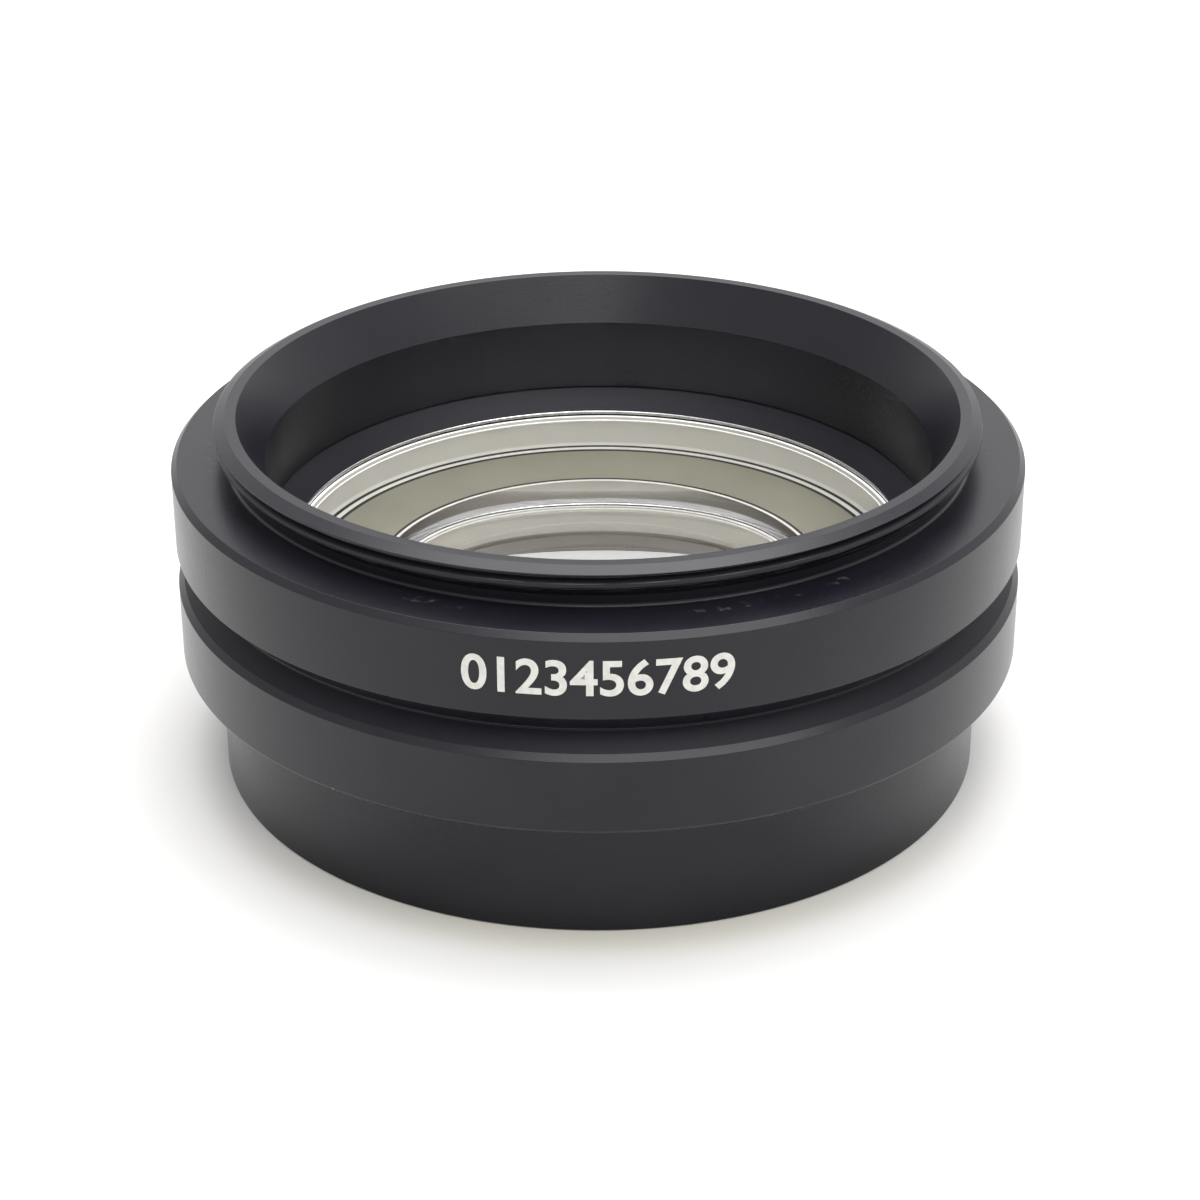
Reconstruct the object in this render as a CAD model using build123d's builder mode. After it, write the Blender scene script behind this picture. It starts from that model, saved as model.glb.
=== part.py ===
from build123d import *
import math
import os

# Sizes are in millimetres. The axis is +Z, and heights are counted up from the open end of the barrel.

# Outer form
barrel_diameter = 66.0  # plain end that a ring light clamps on
barrel_length = 10.76  # from the open end to the underside of the lower ring
groove_depth = 1.8  # each 45 degree side of the V-groove between the two rings
groove_land = 0.1  # plain land between a side of the groove and the parting face
barrel_edge_break = 0.15
ring_edge_break = 0.35

# Mount for the microscope body
flange_height = 8.95  # from the parting face to the face that meets the body
flange_width = 3.75  # beyond the crests of the thread, alike on the ring below
flange_edge_break = 0.5
thread_diameter = 64.9  # over the crests of a 65 mm thread
thread_projection = 3.65  # rim above the flange face
thread_length = 1.55  # threaded part, with the lead-in at its top
thread_lead_width = 0.95
thread_lead_drop = 0.4
neck_depth = 1.1  # relief below the crests, between thread and flange
neck_wall = 3.05  # between the relief and the bore
neck_fillet = 0.3
rim_wall = 1.88  # at the top, between entry taper and crests
entry_taper_depth = 3.96

# Joint between mount ring and barrel, and clearances
mount_wall = 2.8  # of the mount ring around the collar, at the root of the V-groove
collar_height = 2.15  # threaded collar of the barrel above the parting face
collar_wall = 2.95
collar_edge_break = 0.3
thread_clearance = 0.1
lens_clearance = 0.1
end_clearance = 0.1
skirt_clearance = 0.2
thread_runout = 0.5  # below the upper retaining ring
lower_thread_runout = 0.3

# Upper lens, a biconcave element with a ground margin above and below
upper_lens_thickness = 6.1  # at the edge
upper_lens_top_radius = 125.0  # radius of curvature
upper_lens_bottom_radius = 2500.0
upper_lens_top_margin = 0.7  # flat annulus that the retaining ring bears on
upper_lens_top_bevel = 0.3
upper_lens_bottom_margin = 7.4  # ground part of the lower face
upper_lens_edge_bevel = 0.3

# Lower lens, plano-concave
lower_lens_thickness = 8.3
lower_lens_top_radius = 600.0
lower_lens_top_margin = 0.85
lower_lens_top_bevel = 0.15
lower_lens_edge_bevel = 0.2

# Inside of the barrel
hood_depth = 4.0  # flared opening below the lower lens
foot_width = 8.2  # flat foot around the flared opening
lower_seat_width = 0.7  # shelf under the edge of the lower lens
upper_seat_width = 5.9  # shelf from the wall of the upper cell to the thread of the lower ring
lens_gap = 0.8  # from the edge of one lens to the edge of the other

# Upper retaining ring, with a tapered top
upper_ring_height = 2.1
upper_ring_land = 0.47  # short plain wall above the lens
upper_ring_overlap = 0.5  # over the edge of the lens
upper_ring_wall = 1.65  # from the edge of the lens to the thread
upper_ring_slot_width = 2.0
upper_ring_slot_depth = 0.9

# Lower retaining ring, a cap over the edge of the lower lens
lower_ring_lip = 0.37  # thickness of the lip on the lens
lower_ring_land = 0.12
lower_ring_overlap = 0.6
lower_ring_lip_taper = 0.5  # width of the tapered part of the lip
lower_ring_skirt = 2.2  # skirt below the lip
lower_ring_wall = 1.5
lower_ring_slot_width = 1.6
lower_ring_slot_depth = 0.8

# Heights that follow from the lens stack
lower_seat_height = hood_depth
lower_lens_top = lower_seat_height + lower_lens_thickness
upper_seat_height = lower_lens_top + lens_gap
upper_lens_top = upper_seat_height + upper_lens_thickness
upper_ring_top = upper_lens_top + upper_ring_height
parting_height = upper_ring_top - collar_height
flange_face_height = parting_height + flange_height
rim_height = flange_face_height + thread_projection
lower_ring_top = lower_lens_top + lower_ring_lip
lower_ring_foot = lower_lens_top - lower_ring_skirt

# Radii of the outer form and of the mount
barrel_radius = barrel_diameter / 2
hood_radius = barrel_radius - foot_width
thread_radius = thread_diameter / 2
ring_radius = thread_radius + flange_width
groove_root_radius = ring_radius - groove_depth
entry_radius = thread_radius - rim_wall
neck_radius = thread_radius - neck_depth
bore_radius = neck_radius - neck_wall

# Radii of the inside, from the root of the V-groove inwards
counterbore_radius = groove_root_radius - mount_wall
collar_radius = counterbore_radius - thread_clearance
collar_bore_radius = collar_radius - collar_wall
upper_ring_radius = collar_bore_radius - thread_clearance
upper_lens_radius = upper_ring_radius - upper_ring_wall
upper_ring_inner_radius = upper_lens_radius - upper_ring_overlap
upper_cell_radius = upper_lens_radius + lens_clearance
lower_thread_radius = upper_cell_radius - upper_seat_width
lower_ring_radius = lower_thread_radius - thread_clearance
lower_skirt_inner_radius = lower_ring_radius - lower_ring_wall
lower_lens_radius = lower_skirt_inner_radius - skirt_clearance
lower_ring_inner_radius = lower_lens_radius - lower_ring_overlap
lower_cell_radius = lower_lens_radius + lens_clearance


def sagitta(curvature_radius, aperture_radius):
    """Depth of a spherical face of the given radius of curvature over its aperture."""
    return curvature_radius - math.sqrt(curvature_radius**2 - aperture_radius**2)


def edges_at(radius, height):
    """Circular edges of the piece being made, at one radius and one height."""
    circles = edges().filter_by(GeomType.CIRCLE)
    near = 0.001
    return circles.filter_by(
        lambda edge: abs(edge.radius - radius) < near and abs(edge.arc_center.Z - height) < near
    )


# Mount ring: thread, relief neck, flange and tapered entry, turned in one piece
thread_end_height = rim_height - thread_length
counterbore_height = upper_ring_top + end_clearance
with BuildPart() as mount_ring:
    with BuildSketch(Plane.XZ):
        with BuildLine():
            Polyline(
                (bore_radius, counterbore_height),
                (bore_radius, rim_height - entry_taper_depth),
                (entry_radius, rim_height),
                (thread_radius - thread_lead_width, rim_height),
                (thread_radius, rim_height - thread_lead_drop),
                (thread_radius, thread_end_height),
                (neck_radius, thread_end_height - neck_depth),
                (neck_radius, flange_face_height),
                (ring_radius, flange_face_height),
                (ring_radius, parting_height + groove_land + groove_depth),
                (groove_root_radius, parting_height + groove_land),
                (groove_root_radius, parting_height),
                (counterbore_radius, parting_height),
                (counterbore_radius, counterbore_height),
                close=True,
            )
        make_face()
    revolve(axis=Axis.Z)
    fillet(edges_at(neck_radius, flange_face_height), radius=neck_fillet)
    chamfer(edges_at(ring_radius, flange_face_height), length=flange_edge_break)

# Barrel: lower ring, plain end, threaded collar and the stepped bore that seats both lenses
upper_cell_height = upper_lens_top - thread_runout
lower_thread_floor = lower_ring_foot - lower_thread_runout
with BuildPart() as barrel:
    with BuildSketch(Plane.XZ):
        with BuildLine():
            Polyline(
                (hood_radius, 0),
                (barrel_radius, 0),
                (barrel_radius, barrel_length),
                (ring_radius, barrel_length),
                (ring_radius, parting_height - groove_land - groove_depth),
                (groove_root_radius, parting_height - groove_land),
                (groove_root_radius, parting_height),
                (collar_radius, parting_height),
                (collar_radius, upper_ring_top),
                (collar_bore_radius, upper_ring_top),
                (collar_bore_radius, upper_cell_height),
                (upper_cell_radius, upper_cell_height),
                (upper_cell_radius, upper_seat_height),
                (lower_thread_radius, upper_seat_height),
                (lower_thread_radius, lower_thread_floor),
                (lower_cell_radius, lower_thread_floor),
                (lower_cell_radius, lower_seat_height),
                (lower_lens_radius - lower_seat_width, lower_seat_height),
                close=True,
            )
        make_face()
    revolve(axis=Axis.Z)
    chamfer(edges_at(barrel_radius, 0), length=barrel_edge_break)
    chamfer(edges_at(ring_radius, barrel_length), length=ring_edge_break)
    chamfer(edges_at(collar_radius, upper_ring_top), length=collar_edge_break)

# Upper lens: two spherical faces, a ground edge and ground margins
upper_top_aperture = upper_lens_radius - upper_lens_top_margin - upper_lens_top_bevel
upper_top_edge = upper_lens_top - upper_lens_top_bevel
upper_top_vertex = upper_top_edge - sagitta(upper_lens_top_radius, upper_top_aperture)
upper_bottom_aperture = upper_lens_radius - upper_lens_bottom_margin
upper_bottom_vertex = upper_seat_height + sagitta(upper_lens_bottom_radius, upper_bottom_aperture)
with BuildPart() as upper_lens:
    with BuildSketch(Plane.XZ):
        with BuildLine():
            RadiusArc((0, upper_top_vertex), (upper_top_aperture, upper_top_edge), -upper_lens_top_radius)
            Polyline(
                (upper_top_aperture, upper_top_edge),
                (upper_top_aperture + upper_lens_top_bevel, upper_lens_top),
                (upper_lens_radius, upper_lens_top),
                (upper_lens_radius, upper_seat_height),
                (upper_bottom_aperture, upper_seat_height),
            )
            RadiusArc(
                (upper_bottom_aperture, upper_seat_height),
                (0, upper_bottom_vertex),
                -upper_lens_bottom_radius,
            )
            Line((0, upper_bottom_vertex), (0, upper_top_vertex))
        make_face()
    revolve(axis=Axis.Z)
    chamfer(edges_at(upper_lens_radius, upper_seat_height), length=upper_lens_edge_bevel)

# Lower lens: spherical top, flat foot, ground edge and top margin
lower_top_aperture = lower_lens_radius - lower_lens_top_margin - lower_lens_top_bevel
lower_top_edge = lower_lens_top - lower_lens_top_bevel
lower_top_vertex = lower_top_edge - sagitta(lower_lens_top_radius, lower_top_aperture)
with BuildPart() as lower_lens:
    with BuildSketch(Plane.XZ):
        with BuildLine():
            RadiusArc((0, lower_top_vertex), (lower_top_aperture, lower_top_edge), -lower_lens_top_radius)
            Polyline(
                (lower_top_aperture, lower_top_edge),
                (lower_top_aperture + lower_lens_top_bevel, lower_lens_top),
                (lower_lens_radius, lower_lens_top),
                (lower_lens_radius, lower_seat_height),
                (0, lower_seat_height),
                (0, lower_top_vertex),
            )
        make_face()
    revolve(axis=Axis.Z)
    chamfer(edges_at(lower_lens_radius, lower_seat_height), length=lower_lens_edge_bevel)

# Upper retaining ring: tapered top, and two slots for a spanner across the outer part
with BuildPart() as upper_retaining_ring:
    with BuildSketch(Plane.XZ):
        with BuildLine():
            Polyline(
                (upper_ring_inner_radius, upper_lens_top),
                (upper_ring_radius, upper_lens_top),
                (upper_ring_radius, upper_ring_top),
                (upper_ring_inner_radius, upper_lens_top + upper_ring_land),
                close=True,
            )
        make_face()
    revolve(axis=Axis.Z)
    with BuildSketch(Plane.XY.offset(upper_ring_top)):
        with PolarLocations(upper_ring_radius, 2):
            Rectangle(upper_ring_wall * 2, upper_ring_slot_width)
    extrude(amount=-upper_ring_slot_depth, mode=Mode.SUBTRACT)

# Lower retaining ring: lip on the lens, threaded skirt around it, and two notches in the rim
lower_slot_length = lower_ring_wall * 2 / 3
with BuildPart() as lower_retaining_ring:
    with BuildSketch(Plane.XZ):
        with BuildLine():
            Polyline(
                (lower_ring_inner_radius, lower_lens_top),
                (lower_ring_inner_radius, lower_lens_top + lower_ring_land),
                (lower_ring_inner_radius + lower_ring_lip_taper, lower_ring_top),
                (lower_ring_radius, lower_ring_top),
                (lower_ring_radius, lower_ring_foot),
                (lower_skirt_inner_radius, lower_ring_foot),
                (lower_skirt_inner_radius, lower_lens_top),
                close=True,
            )
        make_face()
    revolve(axis=Axis.Z)
    with BuildSketch(Plane.XY.offset(lower_ring_top)):
        with PolarLocations(lower_ring_radius, 2):
            Rectangle(lower_slot_length * 2, lower_ring_slot_width)
    extrude(amount=-lower_ring_slot_depth, mode=Mode.SUBTRACT)

mount_ring.part.label = "mount_ring"
barrel.part.label = "barrel"
upper_lens.part.label = "upper_lens"
lower_lens.part.label = "lower_lens"
upper_retaining_ring.part.label = "upper_retaining_ring"
lower_retaining_ring.part.label = "lower_retaining_ring"

os.makedirs("parts", exist_ok=True)
export_step(mount_ring.part, "parts/mount_ring.step")
export_step(barrel.part, "parts/barrel.step")
export_step(upper_lens.part, "parts/upper_lens.step")
export_step(lower_lens.part, "parts/lower_lens.step")
export_step(upper_retaining_ring.part, "parts/upper_retaining_ring.step")
export_step(lower_retaining_ring.part, "parts/lower_retaining_ring.step")
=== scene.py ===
"""Looks of a stereo microscope objective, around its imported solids.

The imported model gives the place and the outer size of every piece. Each solid of
revolution is made again here as a finely turned surface with the same section, so
that its edges can carry their small rounding, the thread its helix and the glass its
polish. Lengths are in millimetres and become metres when a mesh is written.
"""

import logging
import math
from collections.abc import Sequence
from dataclasses import dataclass, field
from enum import Enum

import bmesh
import bpy
import numpy as np
from mathutils import Matrix, Vector


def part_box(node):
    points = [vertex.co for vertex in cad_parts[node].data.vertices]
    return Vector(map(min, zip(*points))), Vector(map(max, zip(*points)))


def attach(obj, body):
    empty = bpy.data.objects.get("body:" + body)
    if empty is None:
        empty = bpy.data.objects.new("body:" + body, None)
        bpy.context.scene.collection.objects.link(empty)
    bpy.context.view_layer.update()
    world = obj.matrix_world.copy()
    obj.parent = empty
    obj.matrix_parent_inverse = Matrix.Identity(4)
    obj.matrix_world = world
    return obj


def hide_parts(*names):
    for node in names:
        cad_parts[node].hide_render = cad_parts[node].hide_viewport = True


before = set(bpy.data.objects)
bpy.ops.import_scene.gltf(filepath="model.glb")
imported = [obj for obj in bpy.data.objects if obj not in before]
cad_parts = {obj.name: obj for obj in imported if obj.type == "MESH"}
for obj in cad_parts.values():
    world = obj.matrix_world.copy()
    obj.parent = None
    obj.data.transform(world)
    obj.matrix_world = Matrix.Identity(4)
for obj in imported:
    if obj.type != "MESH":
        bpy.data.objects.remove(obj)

log = logging.getLogger("objective")

MM = 0.001  # metres in a millimetre
ROOT = "root"  # the one body of a part without joints
SEAT_FILM = 0.01  # air left between two pieces that bear on each other
KEEN, FINE, ROUND, SOFT = 0.03, 0.05, 0.06, 0.08  # radii of the arcs that break an edge
Colour = tuple[float, float, float]
Reach = tuple[float, float]  # values at which a soft step starts and ends
WHITE: Colour = (1.0, 1.0, 1.0)


class Zone(Enum):
    """Finish of one turned or ground face of a piece."""

    SATIN = "satin_black"
    # Lighter black that paints the highlight on the barrel ring's lower edge
    HIGHLIT_EDGE = "painted_highlight_black"
    MATT = "matt_black"
    HOOD = "hood_black"
    BARE = "bare_metal"
    BURNISHED = "burnished_edge"
    POLISHED = "polished_glass"
    GROUND_EDGE = "ground_edge"
    GROUND_MARGIN = "ground_margin"
    BEVEL = "glass_bevel"
    # Near white ground glass: the frosted top margin, and painted highlight lines on its arc, the bevel's
    # foot and the lower margin
    FROST_AND_HIGHLIGHT = "frosted_glass_and_painted_highlight"
    # Near black ground glass: painted shadow lines beside the painted highlight lines of the lower margin
    SHADOW_LINE = "painted_shadow_glass_line"
    PAINT = "white_fill"


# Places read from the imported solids


@dataclass(frozen=True)
class Extent:
    """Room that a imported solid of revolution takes, in millimetres."""

    radius: float
    low: float
    high: float

    @classmethod
    def of(cls, node: str) -> "Extent":
        """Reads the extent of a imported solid.

        Args:
            node: name of the solid.

        Returns:
            Its largest radius and its lowest and highest point.
        """
        low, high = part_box(node)
        return cls(high.x / MM, low.z / MM, high.z / MM)


# Turned surfaces


@dataclass(frozen=True)
class Corner:
    """Corner of a turned section, and the face that runs from it to the next corner.

    The zone is that of the face. The break is the radius of the small arc that takes
    the corner's sharpness off, and the arc has a zone of its own where one is given.
    """

    radius: float
    height: float
    zone: Zone = Zone.SATIN
    edge_break: float = 0.0
    break_zone: Zone | None = None
    arc_radius: float = 0.0  # radius of curvature of the face, for a lens


@dataclass
class Section:
    """Closed section of a turned piece, walked with the solid on its left side."""

    corners: Sequence[Corner]
    arc_steps: int = 6
    face_steps: int = 40
    radii: list[float] = field(default_factory=list)
    heights: list[float] = field(default_factory=list)
    zones: list[Zone] = field(default_factory=list)
    creases: list[bool] = field(default_factory=list)

    def _add(self, points: np.ndarray, zone: Zone) -> None:
        """Adds a face's points, with a crease at its first one."""
        self.radii += points[:, 0].tolist()
        self.heights += points[:, 1].tolist()
        self.zones += [zone] * len(points)
        self.creases += [True] + [False] * (len(points) - 1)

    @staticmethod
    def _break(before: np.ndarray, at: np.ndarray, after: np.ndarray, size: float,
               steps: int) -> np.ndarray:
        """Works out the arc that breaks a corner.

        The arc touches both faces. Its ends lie at size divided by the tangent of half
        the corner's angle from the corner, and its points are turned about its centre,
        which lies on the line that halves the corner.

        Args:
            before: corner before this one.
            at: this corner.
            after: corner after this one.
            size: radius of the arc.
            steps: number of strips along the arc.

        Returns:
            The points of the arc, its two ends included.
        """
        back = (before - at) / np.linalg.norm(before - at)
        ahead = (after - at) / np.linalg.norm(after - at)
        half = math.acos(float(np.clip(back @ ahead, -1.0, 1.0))) / 2
        start = at + back * size / math.tan(half)
        middle = (back + ahead) / np.linalg.norm(back + ahead)
        centre = at + middle * size / math.sin(half)
        sweep = math.pi - 2 * half
        side = math.copysign(1.0, back[0] * ahead[1] - back[1] * ahead[0])
        turn = -side * sweep * np.linspace(0.0, 1.0, steps + 1)
        arm = start - centre
        return centre + np.stack(
            [arm[0] * np.cos(turn) - arm[1] * np.sin(turn), arm[0] * np.sin(turn) + arm[1] * np.cos(turn)],
            axis=1,
        )

    def _sphere(self, start: np.ndarray, end: np.ndarray, curvature: float) -> np.ndarray:
        """Works out a spherical face between two corners.

        The height follows the circle through both ends: its sagitta at each radius is
        the radius of curvature less the root of that radius squared less the radius
        from the axis squared. A positive curvature bulges downwards.

        Args:
            start: first end of the face.
            end: second end of the face.
            curvature: radius of curvature, with its sign.

        Returns:
            Points along the face without its second end.
        """
        share = np.linspace(0.0, 1.0, self.face_steps + 1)[:-1]
        radius = start[0] + (end[0] - start[0]) * share

        def sagitta(r: np.ndarray | float) -> np.ndarray | float:
            """Depth of the sphere at a radius from the axis."""
            return curvature - np.sign(curvature) * np.sqrt(curvature**2 - np.square(r))

        vertex = start[1] - sagitta(start[0])
        return np.stack([radius, vertex + sagitta(radius)], axis=1)

    def lay_out(self) -> "Section":
        """Works out the rows of the turned surface from the corners.

        Returns:
            The section itself, with its rows filled in.
        """
        count = len(self.corners)
        places = [np.array([c.radius, c.height]) for c in self.corners]
        for i, corner in enumerate(self.corners):
            start = places[i]
            if corner.edge_break > 0:
                after = places[(i + 1) % count]
                arc = self._break(places[i - 1], start, after, corner.edge_break, self.arc_steps)
                self._add(arc[:-1], corner.break_zone or corner.zone)
                start = arc[-1]
            if corner.arc_radius:
                self._add(self._sphere(start, places[(i + 1) % count], corner.arc_radius), corner.zone)
            else:
                self._add(start[None, :], corner.zone)
        return self

    def refine(self, low: float, high: float, inner: float, spacing: float) -> "Section":
        """Splits the strips inside a band of the outer wall into fine rows.

        Args:
            low: lowest height of the band.
            high: highest height of the band.
            inner: smallest radius of the band.
            spacing: largest length of a row.

        Returns:
            The section itself, with the rows added.
        """
        radii, heights, zones, creases = [], [], [], []
        for i in range(len(self.radii)):
            j = (i + 1) % len(self.radii)
            start = np.array([self.radii[i], self.heights[i]])
            end = np.array([self.radii[j], self.heights[j]])
            middle = (start + end) / 2
            inside = low <= middle[1] <= high and middle[0] >= inner
            pieces = max(1, math.ceil(float(np.linalg.norm(end - start)) / spacing)) if inside else 1
            for k in range(pieces):
                radius, height = start + (end - start) * k / pieces
                radii.append(float(radius))
                heights.append(float(height))
                zones.append(self.zones[i])
                creases.append(self.creases[i] and k == 0)
        self.radii, self.heights, self.zones, self.creases = radii, heights, zones, creases
        return self


@dataclass
class Turned:
    """Surface of revolution on a grid of rows along the section and columns around the axis.

    Each vertex lies at x = r cos a, y = r sin a, z = h, with the radius r and the height
    h of its row and the angle a of its column. A piece may change its r and h first.
    """

    name: str
    section: Section
    columns: int = 480
    crease_angle: float = math.radians(35)

    def grid(self) -> tuple[np.ndarray, np.ndarray, np.ndarray]:
        """Returns radius, height and angle of every vertex, each of shape rows by columns."""
        angle = np.linspace(0.0, 2 * math.pi, self.columns, endpoint=False)
        return self.spread(np.broadcast_to(angle, (len(self.section.radii), self.columns)))

    def spread(self, angle: np.ndarray) -> tuple[np.ndarray, np.ndarray, np.ndarray]:
        """Carries each row's radius and height over the columns at the given angles."""
        radius, height = np.array(self.section.radii), np.array(self.section.heights)
        columns = np.ones(angle.shape[1])
        return np.outer(radius, columns), np.outer(height, columns), angle

    def mesh(self, radius: np.ndarray, height: np.ndarray, angle: np.ndarray) -> bpy.types.Object:
        """Writes the grid as a closed mesh, with one face slot for each zone.

        Rows whose radius is zero shrink to one vertex, and their strip becomes a fan.

        Args:
            radius: distance of each vertex from the axis.
            height: height of each vertex.
            angle: angle of each vertex about the axis.

        Returns:
            The object, at the origin, with an empty material slot for each zone.
        """
        rows, columns = radius.shape
        points = np.stack([radius * np.cos(angle), radius * np.sin(angle), height], axis=-1)
        index = np.arange(rows * columns).reshape(rows, columns)
        poles = np.max(radius, axis=1) < 1e-9
        index[poles] = index[poles][:, :1]
        after = np.roll(index, -1, axis=1)
        above, above_after = np.roll(index, -1, axis=0), np.roll(after, -1, axis=0)
        quads = np.stack([index, after, above_after, above], axis=-1).reshape(-1, 4)
        order = list(dict.fromkeys(self.section.zones))
        slot = np.repeat([order.index(z) for z in self.section.zones], columns)
        closed = poles & np.roll(poles, -1)
        keep = ~np.repeat(closed, columns)
        quads, slot = quads[keep], slot[keep]
        used = np.unique(index)
        renumber = np.zeros(rows * columns, int)
        renumber[used] = np.arange(len(used))
        quads = renumber[quads]
        fan_start = quads[:, 0] == quads[:, 1]
        fan_end = quads[:, 2] == quads[:, 3]
        plain = ~(fan_start | fan_end)
        faces = quads[plain].tolist() + quads[fan_start][:, 1:].tolist() + quads[fan_end][:, :3].tolist()
        slots = np.concatenate([slot[plain], slot[fan_start], slot[fan_end]])
        mesh = bpy.data.meshes.new(self.name)
        mesh.from_pydata((points.reshape(-1, 3)[used] * MM).tolist(), [], faces)
        for zone in order:
            mesh.materials.append(FINISHES[zone].material(zone.value))
        mesh.polygons.foreach_set("material_index", slots.astype(np.int32))
        mesh.polygons.foreach_set("use_smooth", np.ones(len(slots), bool))
        mesh.set_sharp_from_angle(angle=self.crease_angle)
        self._crease(mesh, used // columns)
        mesh.validate()
        piece = bpy.data.objects.new(self.name, mesh)
        bpy.context.scene.collection.objects.link(piece)
        return piece

    def _crease(self, mesh: bpy.types.Mesh, row_of: np.ndarray) -> None:
        """Keeps the shading of each face of the section apart from its neighbours'.

        Args:
            mesh: the turned mesh.
            row_of: row of the section that each vertex belongs to.
        """
        ends = np.zeros(len(mesh.edges) * 2, np.int32)
        mesh.edges.foreach_get("vertices", ends)
        first, second = row_of[ends[0::2]], row_of[ends[1::2]]
        creased = np.array(self.section.creases)
        sharp = np.zeros(len(mesh.edges), bool)
        mesh.edges.foreach_get("use_edge_sharp", sharp)
        sharp |= (first == second) & creased[first]
        mesh.edges.foreach_set("use_edge_sharp", sharp)


# Materials


class Term:
    """One number of a material, wrapped so that Python's operators add its Math nodes."""

    def __init__(self, sheet: "Sheet", socket: bpy.types.NodeSocket) -> None:
        """Wraps a node's output socket."""
        self.sheet = sheet
        self.socket = socket

    def _math(self, operation: str, *values: "Term | float") -> "Term":
        """Adds one Math node.

        Args:
            operation: name of the node's operation.
            values: its inputs in order.

        Returns:
            The node's result.
        """
        return self.sheet.term("ShaderNodeMath", 0, {"operation": operation}, dict(enumerate(values)))

    def __add__(self, other: "Term | float") -> "Term":
        """Sum."""
        return self._math("ADD", self, other)

    __radd__ = __add__

    def __sub__(self, other: "Term | float") -> "Term":
        """Difference."""
        return self._math("SUBTRACT", self, other)

    def __rsub__(self, other: float) -> "Term":
        """Difference from a number."""
        return self._math("SUBTRACT", other, self)

    def __mul__(self, other: "Term | float") -> "Term":
        """Product."""
        return self._math("MULTIPLY", self, other)

    __rmul__ = __mul__

    def __pow__(self, other: float) -> "Term":
        """Power."""
        return self._math("POWER", self, other)

    def __abs__(self) -> "Term":
        """Size without sign."""
        return self._math("ABSOLUTE", self)

    def at_most(self, limit: "Term | float") -> "Term":
        """The smaller of the number and the limit."""
        return self._math("MINIMUM", self, limit)

    def above(self, limit: "Term | float") -> "Term":
        """One where the number is above the limit, else nought."""
        return self._math("GREATER_THAN", self, limit)

    def turned_from(self, other: "Term") -> "Term":
        """Angle of the point whose x is the other number and whose y is this one."""
        return self._math("ARCTAN2", self, other)

    def ramp(self, start: float, end: float) -> "Term":
        """Smooth step.

        Args:
            start: value at which the step is 0.
            end: value at which the step is 1.

        Returns:
            The step, from 0 to 1.
        """
        settings = {"interpolation_type": "SMOOTHSTEP", "clamp": True}
        values = {"Value": self, "From Min": start, "From Max": end, "To Min": 0.0, "To Max": 1.0}
        return self.sheet.term("ShaderNodeMapRange", "Result", settings, values)


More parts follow.
